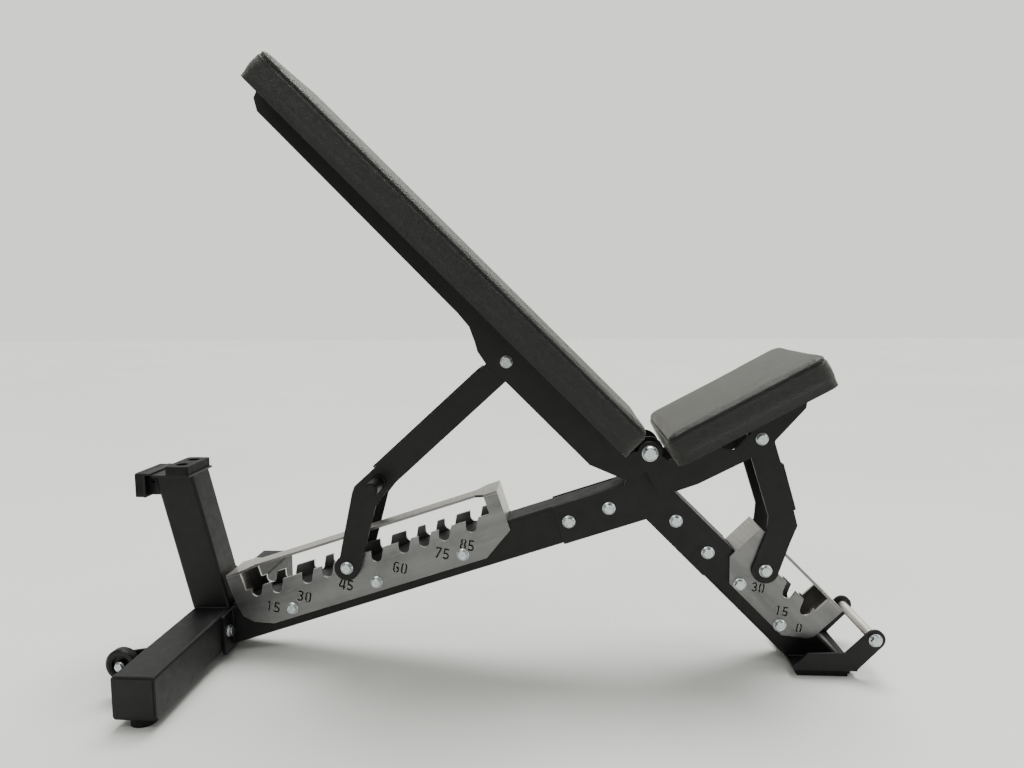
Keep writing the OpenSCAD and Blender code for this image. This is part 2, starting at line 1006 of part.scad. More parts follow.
// Side plate of the back frame, drawn flat: deep at the pivots, slim at the top
module back_frame_side() {
    round_r = 22;
    color(powder_black)
        at_back_angle()
            difference() {
                plate(back_frame_y, plate_t)
                    union() {
                        disc([0, 0], round_r);
                        polygon([
                            [0, round_r], [-30, back_rear], [-984, back_rear], [-979, -50],
                            [-958, -63], [-437, -67], [-405, -70], [-379, -82], [-361, -92],
                            [-336, -97], [-281, -95], [-63, -95], [-26, -80], [4, -68],
                            [18, -54], [21, -28], [round_r, 0]
                        ]);
                    }
                holes_y([[0, 0]], pivot_d + 2 * pin_clearance);
                holes_y([back_pin_flat], pin_hole_d);
            }
}

module back_frame_left() {
    mirror([0, 1, 0])
        back_frame_side();
}

module back_frame_right() {
    back_frame_side();
}

module back_cross_plates() {
    color(powder_black)
        at_back_angle()
            for (u = back_cross_u)
                difference() {
                    translate([-u - 60, -back_frame_y - plate_t, back_rear])
                        cube([60, 2 * (back_frame_y + plate_t), cross_t]);
                    for (y = [-35, 35])
                        translate([-u - 30, y, back_rear - 1])
                            cylinder(h = cross_t + 2, d = 8.4);
                }
}

// Plan of a board or pad, from u = start over the length, drawn towards +X
module pad_plan(start, length, width, r) {
    translate([start + length / 2, 0])
        rounded_box(length, width, r);
}

module board(start, length, rear, centres) {
    difference() {
        translate([0, 0, rear])
            linear_extrude(board_t)
                pad_plan(start + board_inset, length - 2 * board_inset,
                         pad_w - 2 * board_inset, pad_corner_r - board_inset);
        for (u = centres)
            for (y = [-35, 35])
                translate([u, y, rear - 1])
                    cylinder(h = 10, d = 8.4);
    }
}

// A pad wraps round its board; its front edge is rounded more at the pivot's end
module pad(start, length, rear, thickness) {
    end = start + length;
    top = rear + thickness;
    difference() {
        intersection() {
            translate([0, 0, rear])
                linear_extrude(thickness)
                    pad_plan(start, length, pad_w, pad_corner_r);
            plate(-pad_w / 2 - 1, pad_w + 2)
                union() {
                    translate([start, rear])
                        square([length, thickness - pad_near_r]);
                    translate([start + pad_near_r, rear])
                        square([length - pad_near_r - pad_outer_r, thickness]);
                    translate([end - pad_outer_r - 1, rear])
                        square([pad_outer_r + 1, thickness - pad_outer_r]);
                    disc([start + pad_near_r, top - pad_near_r], pad_near_r);
                    disc([end - pad_outer_r, top - pad_outer_r], pad_outer_r);
                }
        }
        translate([0, 0, rear - 1])
            linear_extrude(board_t + 1)
                pad_plan(start + board_inset, length - 2 * board_inset,
                         pad_w - 2 * board_inset, pad_corner_r - board_inset);
    }
}

module back_board() {
    color([0.35, 0.27, 0.18])
        at_back_angle()
            mirror([1, 0, 0])
                board(back_pad_start, back_pad_len, back_pad_rear,
                      [for (u = back_cross_u) u + 30]);
}

module back_pad() {
    color(vinyl_black)
        at_back_angle()
            mirror([1, 0, 0])
                pad(back_pad_start, back_pad_len, back_pad_rear, back_pad_t);
}

// A pan-head screw pointing up, its head under z
module pad_screw(at, z) {
    translate([at[0], at[1], z - 5])
        difference() {
            cylinder(h = 5, d = 15);
            translate([0, 0, -1])
                cylinder(h = 4, d = 5.8, $fn = 6);
        }
    translate([at[0], at[1], z - eps])
        cylinder(h = 12, d = 8);
}

module back_pad_screws() {
    color(zinc)
        at_back_angle()
            for (u = back_cross_u)
                for (y = [-35, 35])
                    pad_screw([-u - 30, y], back_rear);
}

// Bolt, nut and the sleeve that keeps the frame's sides apart at the back strut
module back_strut_pivot() {
    pin = back_pin(back_angle);
    color(zinc) {
        bolt_y(pin, -stack, 2 * stack + head_h, bolt_d, pin_flange_d, head_across, head_h - 1);
        nut_y(pin, stack, bolt_d + 0.2, pin_flange_d, head_across, head_h);
        ring_y(pin, -back_strut_y + 0.2, 2 * back_strut_y - 0.4, 20, bolt_d + 0.2);
    }
}

// Washers between the plates at the back strut's pivot and at the main pivot
module back_thrust_washers() {
    inner = back_strut_y + plate_t + 0.2;
    color(zinc)
        both_sides() {
            ring_y(back_pin(back_angle), inner, back_frame_y - inner, 24, bolt_d + 0.4);
            ring_y(pivot, inner, back_frame_y - inner, 30, pivot_d + 0.4);
        }
}

// ---------- back strut ----------

// Strut plate, drawn from its pin towards its end, with a knee on its upper side
module back_strut_side() {
    last = back_strut_len;
    color(powder_black)
        at_strut(back_pin(back_angle), back_strut_heading)
            difference() {
                plate(back_strut_y, plate_t)
                    union() {
                        disc([0, 0], 26);
                        disc([last, 0], 25);
                        polygon([
                            [0, -26], [46, -30], [371, -85], [384, -81], [last - 8, -23.7],
                            [last - 7, 24], [376, -29.5], [333, -29.5], [35, 21], [0, 26]
                        ]);
                    }
                holes_y([[0, 0]], bolt_d + 2 * pin_clearance);
                holes_y([[last, 0]], bolt_hole_d);
                holes_y([peg_at], bolt_hole_d);
            }
}

peg_at = [337, -52.8];
peg_len = 60;
peg_d = 26;

module back_strut_left() {
    mirror([0, 1, 0])
        back_strut_side();
}

module back_strut_right() {
    back_strut_side();
}

// Plate across the strut's upper edge
module back_strut_web() {
    color(powder_black)
        at_strut(back_pin(back_angle), back_strut_heading)
            plate(-back_strut_y - plate_t, 2 * (back_strut_y + plate_t))
                polygon([[47, -30.3], [318, -76.2], [317, -80.4], [46, -34.6]]);
}

// Round pegs that lift the strut out of its slot, each on a threaded stud
module strut_peg_handles() {
    inner = back_strut_y + plate_t;
    color(rubber_black)
        at_strut(back_pin(back_angle), back_strut_heading)
            both_sides() {
                bar_y(peg_at, inner, peg_len - 3, peg_d);
                bar_y(peg_at, inner + peg_len - 3 - eps, 3, peg_d - 5);
                bar_y(peg_at, inner - 6, 6 + eps, 12);
                ring_y(peg_at, inner, 5, peg_d + 6, peg_d - 1);
            }
}

module back_strut_end_bolts() {
    outer = back_strut_y + plate_t;
    color(zinc)
        at_strut(back_pin(back_angle), back_strut_heading)
            both_sides()
                bolt_y([back_strut_len, 0], -outer, plate_t + 0.4, bolt_d,
                       head_flange_d, head_across, head_h);
}

// ---------- seat ----------

seat_pin_flat = seat_pin_r * [cos(seat_pin_offset), -sin(seat_pin_offset)];

// Side plate of the seat frame, drawn flat, with a cut under the pad
module seat_frame_side() {
    color(powder_black)
        at_seat_angle()
            difference() {
                plate(seat_frame_y, plate_t)
                    union() {
                        disc([0, 0], 21);
                        polygon([
                            [-18, 0], [-23, -31], [-22, -72], [-14, -82], [7, -88], [51, -95],
                            [141, -97], [200, -97], [216, -88], [290, -61], [298, -50],
                            [300, seat_rear], [198, seat_rear], [180, -56], [158, -64],
                            [139, -69], [128, -62], [117, -51], [106, seat_rear],
                            [24, seat_rear], [0, 18]
                        ]);
                    }
                holes_y([[0, 0]], pivot_d + 2 * pin_clearance);
                holes_y([seat_pin_flat], pin_hole_d);
            }
}

module seat_frame_left() {
    mirror([0, 1, 0])
        seat_frame_side();
}

module seat_frame_right() {
    seat_frame_side();
}

module seat_cross_plates() {
    color(powder_black)
        at_seat_angle()
            for (u = seat_cross_u)
                difference() {
                    translate([u, -seat_frame_y, seat_rear - cross_t])
                        cube([50, 2 * seat_frame_y, cross_t]);
                    for (y = [-35, 35])
                        translate([u + 25, y, seat_rear - cross_t - 1])
                            cylinder(h = cross_t + 2, d = 8.4);
                }
}

module seat_board() {
    color([0.35, 0.27, 0.18])
        at_seat_angle()
            board(seat_pad_start, seat_pad_len, seat_rear, [for (u = seat_cross_u) u + 25]);
}

module seat_pad() {
    color(vinyl_black)
        at_seat_angle()
            pad(seat_pad_start, seat_pad_len, seat_rear, seat_pad_t);
}

module seat_pad_screws() {
    color(zinc)
        at_seat_angle()
            for (u = seat_cross_u)
                for (y = [-35, 35])
                    pad_screw([u + 25, y], seat_rear - cross_t);
}

// Bolt, nut, washers and sleeve at the seat strut's upper end
module seat_strut_pivot() {
    pin = seat_pin(seat_angle);
    outer = seat_frame_y + plate_t;
    washer = seat_frame_y - seat_strut_y - plate_t - 0.2;
    color(zinc) {
        bolt_y(pin, -outer, 2 * outer + head_h, bolt_d, pin_flange_d, head_across, head_h - 1);
        nut_y(pin, outer, bolt_d + 0.2, pin_flange_d, head_across, head_h);
        ring_y(pin, -seat_strut_y + 0.2, 2 * seat_strut_y - 0.4, 20, bolt_d + 0.2);
        both_sides()
            ring_y(pin, seat_frame_y - washer, washer, 24, bolt_d + 0.2);
    }
}

// ---------- seat strut ----------

module seat_strut_side() {
    last = seat_strut_len;
    color(powder_black)
        at_strut(seat_pin(seat_angle), seat_strut_heading)
            difference() {
                plate(seat_strut_y, plate_t)
                    union() {
                        disc([0, 0], 25);
                        disc([last, 0], 25);
                        polygon([
                            [0, -25], [36, -19], [149, 9], [179, 5], [last - 14, -20.7],
                            [last + 6, 24.2], [201, 48], [170, 62], [145, 57], [48, 35], [5, 24.5]
                        ]);
                    }
                holes_y([[0, 0]], bolt_d + 2 * pin_clearance);
                holes_y([[last, 0]], bolt_hole_d);
            }
}

module seat_strut_left() {
    mirror([0, 1, 0])
        seat_strut_side();
}

module seat_strut_right() {
    seat_strut_side();
}

module seat_strut_web() {
    color(powder_black)
        at_strut(seat_pin(seat_angle), seat_strut_heading)
            plate(-seat_strut_y - plate_t, 2 * (seat_strut_y + plate_t))
                polygon([[52, 36], [140, 56], [139, 60.2], [51, 40.2]]);
}

module seat_strut_end_bolts() {
    outer = seat_strut_y + plate_t;
    color(zinc)
        at_strut(seat_pin(seat_angle), seat_strut_heading)
            both_sides()
                bolt_y([seat_strut_len, 0], -outer, plate_t + 0.4, bolt_d,
                       head_flange_d, head_across, head_h);
}

// ---------- nodes ----------

rear_stabiliser();
stabiliser_end_caps();
stabiliser_feet();
rear_post();
post_bumper();
bumper_screws();
storage_bracket();
storage_bumper();
spine_tube();
spine_flange();
flange_bolts();
front_leg();
junction_plate_left();
junction_plate_right();
back_ladder_left();
back_ladder_right();
back_ladder_keeper();
seat_ladder_left();
seat_ladder_right();
seat_ladder_keeper();
frame_bolts();
frame_nuts();
front_foot_bracket();
front_foot_pad();
lift_handle();
lift_handle_bolts();
main_pivot_bolt();
main_pivot_nut();
main_pivot_spacers();
wheel_brackets();
wheel_axle_bolts();
wheel_tyre_left();
wheel_hub_left();
wheel_tyre_right();
wheel_hub_right();
back_frame_left();
back_frame_right();
back_cross_plates();
back_board();
back_pad();
back_pad_screws();
back_strut_pivot();
back_thrust_washers();
back_strut_left();
back_strut_right();
back_strut_web();
strut_peg_handles();
back_strut_end_bolts();
seat_frame_left();
seat_frame_right();
seat_cross_plates();
seat_board();
seat_pad();
seat_pad_screws();
seat_strut_pivot();
seat_strut_left();
seat_strut_right();
seat_strut_web();
seat_strut_end_bolts();
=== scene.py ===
import json
import math

import numpy as np

import bmesh
import bpy
from mathutils import Matrix, Vector
from mathutils.bvhtree import BVHTree


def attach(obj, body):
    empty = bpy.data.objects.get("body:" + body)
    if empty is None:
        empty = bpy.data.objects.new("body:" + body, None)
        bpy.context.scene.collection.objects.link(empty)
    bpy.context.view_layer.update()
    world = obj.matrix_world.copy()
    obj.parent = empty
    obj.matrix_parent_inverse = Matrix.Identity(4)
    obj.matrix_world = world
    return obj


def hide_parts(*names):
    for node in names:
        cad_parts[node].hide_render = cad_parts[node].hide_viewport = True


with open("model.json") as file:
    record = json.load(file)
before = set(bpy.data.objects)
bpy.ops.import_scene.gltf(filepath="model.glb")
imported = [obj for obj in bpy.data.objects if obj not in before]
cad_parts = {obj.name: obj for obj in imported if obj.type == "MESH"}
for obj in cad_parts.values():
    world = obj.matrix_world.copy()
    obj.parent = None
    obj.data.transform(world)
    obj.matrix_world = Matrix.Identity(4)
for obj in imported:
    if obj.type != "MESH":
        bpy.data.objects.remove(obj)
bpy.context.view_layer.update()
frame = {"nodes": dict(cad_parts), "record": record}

NODES = frame["nodes"]
MM = 0.001
SPINE_SLOPE = 18.2
BACK_ANGLE = 45.0
SEAT_ANGLE = 28.5
PIVOT = Vector((0.2853, 0.0, 0.418))

# Pads, in metres
PAD_HALF_WIDTH = 0.145
PAD_CORNER = 0.020
BOARD_THICKNESS = 0.012
VOXEL = 0.0045
START_INSET = 0.0003        # the start shape, inside the pad's box
PIVOT_GAP = 0.0004          # the finished pad, inside that box at the pivot
SIDE_CAP = 0.0008           # furthest that the cloth may move a point sideways
FRONT_CAP = 0.0012          # and up or down
CROWN = 0.0024
CROWN_REACH = 0.12
SIDE_SWELL = 0.0024
EDGE_BAND = 0.012           # how far in from the outline the side's shaping reaches
WALL_TOP = 0.022            # above the rear; below it the wall keeps to the board
WALL_INSET = 0.0008
STRIP_WIDTH = 0.024         # vinyl wrapped over the rear
STRIP_PROUD = 0.0008
SEAM_DEPTH = 0.0085
GROOVE_DEPTH = 0.0015
FRONT_RIDGE = 0.0009
REAR_RIDGE = 0.0010
STITCH_STEP = 0.00175       # two to a stitch
STITCH_HALF_LENGTH = 0.0013
STITCH_RADIUS = 0.0006
STAPLE_STEP = 0.0063        # six to a staple
STAPLE_HALF_LENGTH = 0.0058


# ---------- materials ----------

class Shader:
    """A material with a Principled shader and short calls for its nodes."""

    def __init__(self, name, **sockets):
        self.material = bpy.data.materials.new(name)
        self.material.use_nodes = True
        self.tree = self.material.node_tree
        self.tree.nodes.clear()
        self.out = self.tree.nodes.new("ShaderNodeOutputMaterial")
        self.bsdf = self.node("BsdfPrincipled")
        self.tree.links.new(self.bsdf.outputs[0], self.out.inputs[0])
        for key, value in sockets.items():
            self.put(self.bsdf, key.replace("_", " "), value)

    def put(self, node, socket, value):
        target = node.inputs[socket]
        if isinstance(value, bpy.types.NodeSocket):
            self.tree.links.new(value, target)
        elif target.type == "RGBA" and len(value) == 3:
            target.default_value = (*value, 1.0)
        else:
            target.default_value = value

    def node(self, kind, settings=None, **sockets):
        n = self.tree.nodes.new("ShaderNode" + kind)
        for key, value in (settings or {}).items():
            setattr(n, key, value)
        for key, value in sockets.items():
            self.put(n, key.replace("_", " "), value)
        return n

    def math(self, operation, a, b=0.5, c=0.5):
        n = self.tree.nodes.new("ShaderNodeMath")
        n.operation = operation
        for i, value in enumerate((a, b, c)):
            self.put(n, i, value)
        return n.outputs[0]

    def place(self, scale=(1, 1, 1), rotation=(0, 0, 0)):
        """Object coordinates, turned and then scaled."""
        coords = self.node("TexCoord").outputs["Object"]
        turned = self.node("Mapping", {"vector_type": "POINT"}, Vector=coords, Rotation=rotation)
        scaled = self.node("Mapping", {"vector_type": "POINT"},
                           Vector=turned.outputs[0], Scale=scale)
        return scaled.outputs[0]

    def noise(self, scale, detail=4.0, roughness=0.55, where=None, distortion=0.0):
        vector = where if where is not None else self.node("TexCoord").outputs["Object"]
        n = self.node("TexNoise", Vector=vector, Scale=scale, Detail=detail,
                      Roughness=roughness, Distortion=distortion)
        return n.outputs["Fac"]

    def spread(self, value, low, high, start=0.3, end=0.7):
        n = self.node("MapRange", Value=value)
        for key, v in (("From Min", start), ("From Max", end), ("To Min", low), ("To Max", high)):
            n.inputs[key].default_value = v
        return n.outputs[0]

    def mix_colour(self, factor, a, b):
        n = self.node("Mix", {"data_type": "RGBA"})
        self.put(n, "Factor", factor)
        self.put(n, 6, a)
        self.put(n, 7, b)
        return n.outputs[2]

    def bump(self, height, distance, strength=1.0, normal=None):
        n = self.node("Bump", Height=height, Distance=distance, Strength=strength)
        if normal is not None:
            self.put(n, "Normal", normal)
        return n.outputs[0]

    def soft_edges(self, radius):
        """A normal rounded over the edges, and a mask that is 1 on them."""
        rounded = self.node("Bevel", {"samples": 6}, Radius=radius).outputs[0]
        flat = self.node("NewGeometry").outputs["Normal"]
        dot = self.node("VectorMath", {"operation": "DOT_PRODUCT"})
        self.put(dot, 0, rounded)
        self.put(dot, 1, flat)
        mask = self.spread(dot.outputs["Value"], 1.0, 0.0, 0.86, 0.995)
        return rounded, mask


def powder_coat():
    """Fine-textured satin black powder coat, a little thinner and lighter on its edges."""
    s = Shader("powder_coat", Specular_IOR_Level=0.27)
    rounded, edge = s.soft_edges(0.0012)
    patch = s.noise(9.0, 3.0)
    speck = s.noise(650.0, 2.0, 0.6)
    base = s.mix_colour(s.spread(patch, 0, 1),
                        (0.0034, 0.0035, 0.0038), (0.0062, 0.0063, 0.0067))
    dust = s.spread(s.noise(38.0, 8.0, 0.72), 0.0, 0.20, 0.60, 0.82)
    base = s.mix_colour(dust, base, (0.026, 0.025, 0.022))
    rub = s.math("MULTIPLY", edge, s.spread(s.noise(60.0, 5.0, 0.7), 0.05, 0.6, 0.42, 0.68))
    base = s.mix_colour(rub, base, (0.050, 0.050, 0.052))
    s.put(s.bsdf, "Base Color", base)
    s.put(s.bsdf, "Roughness", s.spread(s.noise(55.0, 4.0), 0.36, 0.50))
    peel = s.noise(1500.0, 2.0, 0.5)
    grain = s.math("ADD", s.math("MULTIPLY", speck, 0.7), s.math("MULTIPLY", peel, 0.3))
    s.put(s.bsdf, "Normal", s.bump(grain, 0.00035, 0.55, rounded))
    return s.material


def bare_steel(name, turn):
    """Bare rolled plate: grain along the part, bright striped cuts, scratches and faint stain."""
    s = Shader(name, Metallic=1.0)
    rounded, edge = s.soft_edges(0.0006)
    along = s.place((3.0, 240.0, 420.0), (0, math.radians(turn), 0))
    fine = s.noise(1.0, 5.0, 0.62, along)
    coarse = s.noise(1.0, 3.0, 0.5, s.place((1.2, 30.0, 46.0), (0, math.radians(turn), 0)))
    cloud = s.noise(13.0, 5.0, 0.6, distortion=0.4)
    facing = s.node("SeparateXYZ", Vector=s.node("TexCoord").outputs["Normal"]).outputs["Y"]
    cut = s.spread(s.math("ABSOLUTE", facing), 1.0, 0.0, 0.45, 0.6)
    worn = s.spread(cloud, 0, 1, 0.35, 0.68)
    plate = s.mix_colour(worn, (0.115, 0.115, 0.117), (0.185, 0.185, 0.185))
    plate = s.mix_colour(s.spread(coarse, 0.0, 0.5), plate, (0.25, 0.25, 0.247))
    scratch = s.noise(1.0, 2.0, 0.5,
                      s.place((14.0, 500.0, 900.0), (0, math.radians(turn + 11), 0)))
    plate = s.mix_colour(s.spread(scratch, 0.0, 0.5, 0.68, 0.76), plate, (0.42, 0.42, 0.41))
    stripes = s.noise(1.0, 2.0, 0.6, s.place((900.0, 12.0, 900.0)))
    cut_colour = s.mix_colour(s.spread(stripes, 0, 1), (0.46, 0.44, 0.41), (0.68, 0.66, 0.62))
    colour = s.mix_colour(cut, plate, cut_colour)
    colour = s.mix_colour(s.math("MULTIPLY", edge, 0.8), colour, (0.82, 0.81, 0.79))
    s.put(s.bsdf, "Base Color", colour)
    rough = s.math("ADD", s.spread(fine, 0.24, 0.42), s.math("MULTIPLY", cloud, 0.08))
    s.put(s.bsdf, "Roughness", rough)
    height = s.math("ADD", s.math("MULTIPLY", fine, s.math("SUBTRACT", 1.0, cut)),
                    s.math("MULTIPLY", stripes, cut))
    s.put(s.bsdf, "Normal", s.bump(height, 0.00012, 0.5, rounded))
    return s.material


def zinc_plate():
    """Bright bluish zinc on turned and forged fasteners."""
    s = Shader("zinc", Metallic=1.0)
    rounded, edge = s.soft_edges(0.0005)
    cloud = s.noise(170.0, 4.0, 0.6)
    base = s.mix_colour(s.spread(cloud, 0, 1), (0.36, 0.41, 0.42), (0.60, 0.65, 0.66))
    tint = s.spread(s.noise(60.0, 3.0), 0.0, 0.35, 0.52, 0.72)
    base = s.mix_colour(tint, base, (0.55, 0.54, 0.45))
    base = s.mix_colour(s.math("MULTIPLY", edge, 0.5), base, (0.93, 0.94, 0.94))
    s.put(s.bsdf, "Base Color", base)
    s.put(s.bsdf, "Roughness", s.spread(s.noise(260.0, 4.0), 0.20, 0.38))
    s.put(s.bsdf, "Normal", s.bump(s.noise(900.0, 3.0), 0.00012, 0.35, rounded))
    return s.material


def rubber(name, dark, light, low, high, grain):
    """Moulded rubber or plastic, roughness low to high, chalky on its edges."""
    s = Shader(name, Specular_IOR_Level=0.26)
    rounded, edge = s.soft_edges(0.0014)
    base = s.mix_colour(s.spread(s.noise(24.0, 5.0, 0.65), 0, 1), dark, light)
    chalk = s.spread(s.noise(70.0, 7.0, 0.75), 0.0, 0.35, 0.58, 0.8)
    chalk = s.math("MULTIPLY", chalk, s.spread(edge, 0.35, 1.0, 0, 1))
    base = s.mix_colour(chalk, base, (0.034, 0.033, 0.031))
    s.put(s.bsdf, "Base Color", base)
    s.put(s.bsdf, "Roughness", s.spread(s.noise(90.0, 4.0), low, high))
    s.put(s.bsdf, "Normal", s.bump(s.noise(grain, 3.0, 0.6), 0.0003, 0.5, rounded))
    return s.material


def handle_steel():
    """A pale satin tube, turned lines round it."""
    s = Shader("handle_steel", Metallic=1.0)
    lines = s.noise(1.0, 3.0, 0.6, s.place((60.0, 1500.0, 60.0)))
    cloud = s.noise(40.0, 4.0)
    base = s.mix_colour(s.spread(cloud, 0, 1), (0.52, 0.50, 0.46), (0.66, 0.645, 0.60))
    s.put(s.bsdf, "Base Color", base)
    s.put(s.bsdf, "Roughness", s.spread(lines, 0.34, 0.52))
    s.put(s.bsdf, "Normal", s.bump(lines, 0.00008, 0.5))
    return s.material


def plywood():
    """Birch plywood: long grain and darker ray flecks."""
    s = Shader("plywood")
    wave = s.noise(1.0, 6.0, 0.6, s.place((4.0, 70.0, 4.0), (0, math.radians(-45), 0)), 0.8)
    fleck = s.noise(1.0, 3.0, 0.5, s.place((60.0, 900.0, 60.0), (0, math.radians(-45), 0)))
    # stained dark; the dark tone also paints the shade of the gap line where the board shows below
    # the vinyl
    base = s.mix_colour(s.spread(wave, 0, 1), (0.105, 0.066, 0.036), (0.165, 0.110, 0.060))
    base = s.mix_colour(s.spread(fleck, 0.0, 0.45, 0.55, 0.7), base, (0.070, 0.042, 0.022))
    s.put(s.bsdf, "Base Color", base)
    s.put(s.bsdf, "Roughness", s.spread(fleck, 0.55, 0.72))
    s.put(s.bsdf, "Normal", s.bump(s.math("ADD", wave, fleck), 0.0002, 0.4))
    return s.material


def vinyl():
    """Grained upholstery vinyl: pebbles two to three millimetres across with soft creases."""
    s = Shader("vinyl", Specular_IOR_Level=0.40, Sheen_Weight=0.30, Sheen_Roughness=0.35,
               Sheen_Tint=(1.0, 0.985, 0.87))
    warp = s.node("TexNoise", Scale=170.0, Detail=2.0)
    s.put(warp, "Vector", s.node("TexCoord").outputs["Object"])
    coords = s.node("VectorMath", {"operation": "MULTIPLY_ADD"})
    s.put(coords, 0, warp.outputs["Color"])
    s.put(coords, 1, (0.0020, 0.0020, 0.0020))
    s.put(coords, 2, s.node("TexCoord").outputs["Object"])
    cells = s.node("TexVoronoi", {"feature": "DISTANCE_TO_EDGE"},
                   Vector=coords.outputs[0], Scale=360.0)
    pebble = s.spread(cells.outputs["Distance"], 0.0, 1.0, 0.0, 0.22)
    crease = s.noise(95.0, 4.0, 0.6, distortion=0.5)
    micro = s.noise(2600.0, 2.0, 0.5)
    # the valleys between the pebbles are painted darker than their tops: painted shade in the grain
    base = s.mix_colour(pebble, (0.0030, 0.0030, 0.0030), (0.0085, 0.0084, 0.0081))
    base = s.mix_colour(s.spread(s.noise(7.0, 4.0), 0.0, 0.35), base, (0.0135, 0.0131, 0.0120))
    s.put(s.bsdf, "Base Color", base)
    valley = s.math("SUBTRACT", 1.0, pebble)
    rough = s.math("ADD", s.spread(crease, 0.26, 0.38), s.math("MULTIPLY", valley, 0.18))
    s.put(s.bsdf, "Roughness", rough)
    height = s.math("ADD", s.math("MULTIPLY", pebble, 0.6),
                    s.math("ADD", s.math("MULTIPLY", crease, 0.9), s.math("MULTIPLY", micro, 0.12)))
    s.put(s.bsdf, "Normal", s.bump(height, 0.0011, 0.9))
    return s.material


def thread_material():
    """Twisted black sewing thread."""
    s = Shader("stitch_thread", Specular_IOR_Level=0.5)
    twist = s.node("TexWave", {"bands_direction": "DIAGONAL"}, Scale=900.0, Distortion=1.5)
    s.put(twist, "Vector", s.node("TexCoord").outputs["Object"])
    # the twist's grooves are painted darker than its ridges: painted shade
    base = s.mix_colour(twist.outputs["Fac"], (0.0035, 0.0035, 0.0035), (0.013, 0.013, 0.013))
    s.put(s.bsdf, "Base Color", base)
    s.put(s.bsdf, "Roughness", s.spread(twist.outputs["Fac"], 0.35, 0.55, 0, 1))
    s.put(s.bsdf, "Normal", s.bump(twist.outputs["Fac"], 0.0002, 0.6))
    return s.material


MATERIALS = {
    "powder_coat": powder_coat(),
    "zinc": zinc_plate(),
    "rubber": rubber("rubber", (0.0035, 0.0035, 0.0035), (0.0070, 0.0070, 0.0068),
                     0.58, 0.80, 900.0),
    "plastic": rubber("plastic", (0.0030, 0.0030, 0.0032), (0.0055, 0.0055, 0.0058),
                      0.34, 0.50, 1400.0),
    "handle_steel": handle_steel(),
    "plywood": plywood(),
    "vinyl": vinyl(),
}
STEEL = {
    "back": bare_steel("bare_steel_spine", SPINE_SLOPE),
    "seat": bare_steel("bare_steel_leg", -45.0),
    "pivot": bare_steel("bare_steel_pivot", 0.0),
}
TYRE = rubber("tyre_rubber", (0.0035, 0.0035, 0.0035), (0.0065, 0.0065, 0.0065),
              0.24, 0.38, 700.0)
THREAD = thread_material()

for part in frame["record"]["subparts"]:
    material = MATERIALS.get(part["material_slot"])
    if part["material_slot"] == "bare_steel":
        material = STEEL[part["node"].split("_")[0]]
    if part["node"].startswith("wheel_tyre"):
        material = TYRE
    mesh = NODES[part["node"]].data
    for i in range(len(mesh.materials)):
        mesh.materials[i] = material


# ---------- meshes ----------

def new_object(name, bm, material, smooth=True):
    mesh = bpy.data.meshes.new(name)
    bm.normal_update()
    bm.to_mesh(mesh)
    bm.free()
    mesh.materials.append(material)
    mesh.polygons.foreach_set("use_smooth", [smooth] * len(mesh.polygons))
    obj = bpy.data.objects.new(name, mesh)
    bpy.context.scene.collection.objects.link(obj)
    return obj


def at_angle(degrees):
    """From a part drawn flat about the main pivot to its place in the frame."""
    return Matrix.Translation(PIVOT) @ Matrix.Rotation(math.radians(degrees), 4, "Y")


def outline(u0, u1, half_width, corner, step):
    """Points round a rectangle with round corners, evenly spaced, with their outward directions."""
    cu, cv = (u0 + u1) / 2, 0.0
    hu, hv = (u1 - u0) / 2 - corner, half_width - corner
    arc = math.pi / 2 * corner
    legs = []
    for k, (su, sv) in enumerate(((1, 1), (-1, 1), (-1, -1), (1, -1))):
        centre = (cu + su * hu, cv + sv * hv)
        start = k * math.pi / 2
        legs.append(("arc", centre, start, arc))
        length = 2 * hu if k in (0, 2) else 2 * hv
        legs.append(("line", centre, start + math.pi / 2, length))
    points = []
    for kind, centre, angle, length in legs:
        n = max(2, round(length / step))
        for i in range(n):
            if kind == "arc":
                a = angle + math.pi / 2 * i / n
                d = Vector((math.cos(a), math.sin(a)))
                points.append((Vector(centre) + corner * d, d))
            else:
                d = Vector((math.cos(angle), math.sin(angle)))
                along = Vector((-d.y, d.x))
                points.append((Vector(centre) + corner * d + along * length * i / n, d))
    return points


def loft(bm, rings):
    """Joins rings of equal numbers of points into one closed skin."""
    rows = [[bm.verts.new(p) for p in ring] for ring in rings]
    n = len(rows[0])
    for a, b in zip(rows, rows[1:]):
        for i in range(n):
            bm.faces.new((a[i], a[(i + 1) % n], b[(i + 1) % n], b[i]))
    bm.faces.new(rows[0][::-1])
    bm.faces.new(rows[-1])


def pad_start(u0, u1, half_width, rear, front, corner):
    """The pad before it is stuffed, u along +X, w along +Z; its near end is the rounder one."""
    bm = bmesh.new()
    points = outline(u0, u1, half_width, corner, 0.004)
    edges = [0.005 + 0.0125 * max(0.0, -d.x) ** 2 + 0.001 * max(0.0, d.x) ** 2 for p, d in points]
    rings = [[Vector((p.x, p.y, rear)) for p, d in points]]
    for i in range(7):
        a = math.pi / 2 * i / 6
        ring = []
        for (p, d), edge in zip(points, edges):
            inset = edge * (1 - math.cos(a))
            w = front - edge + edge * math.sin(a)
            ring.append(Vector((p.x - d.x * inset, p.y - d.y * inset, w)))
        rings.append(ring)
    loft(bm, rings)
    return bm


def voxels(obj):
    """Remeshes a pad into even squares."""
    remesh = obj.modifiers.new("remesh", "REMESH")
    remesh.mode = "VOXEL"
    remesh.voxel_size = VOXEL
    bake(obj)


def averaged(field, pairs, rounds):
    """The field with each point drawn to its neighbours' mean, again and again."""
    count = np.zeros(len(field))
    np.add.at(count, pairs[:, 0], 1)
    np.add.at(count, pairs[:, 1], 1)
    count = np.maximum(count, 1)[:, None]
    for _ in range(rounds):
        total = np.zeros_like(field)
        np.add.at(total, pairs[:, 0], field[pairs[:, 1]])
        np.add.at(total, pairs[:, 1], field[pairs[:, 0]])
        field = 0.4 * field + 0.6 * total / count
    return field


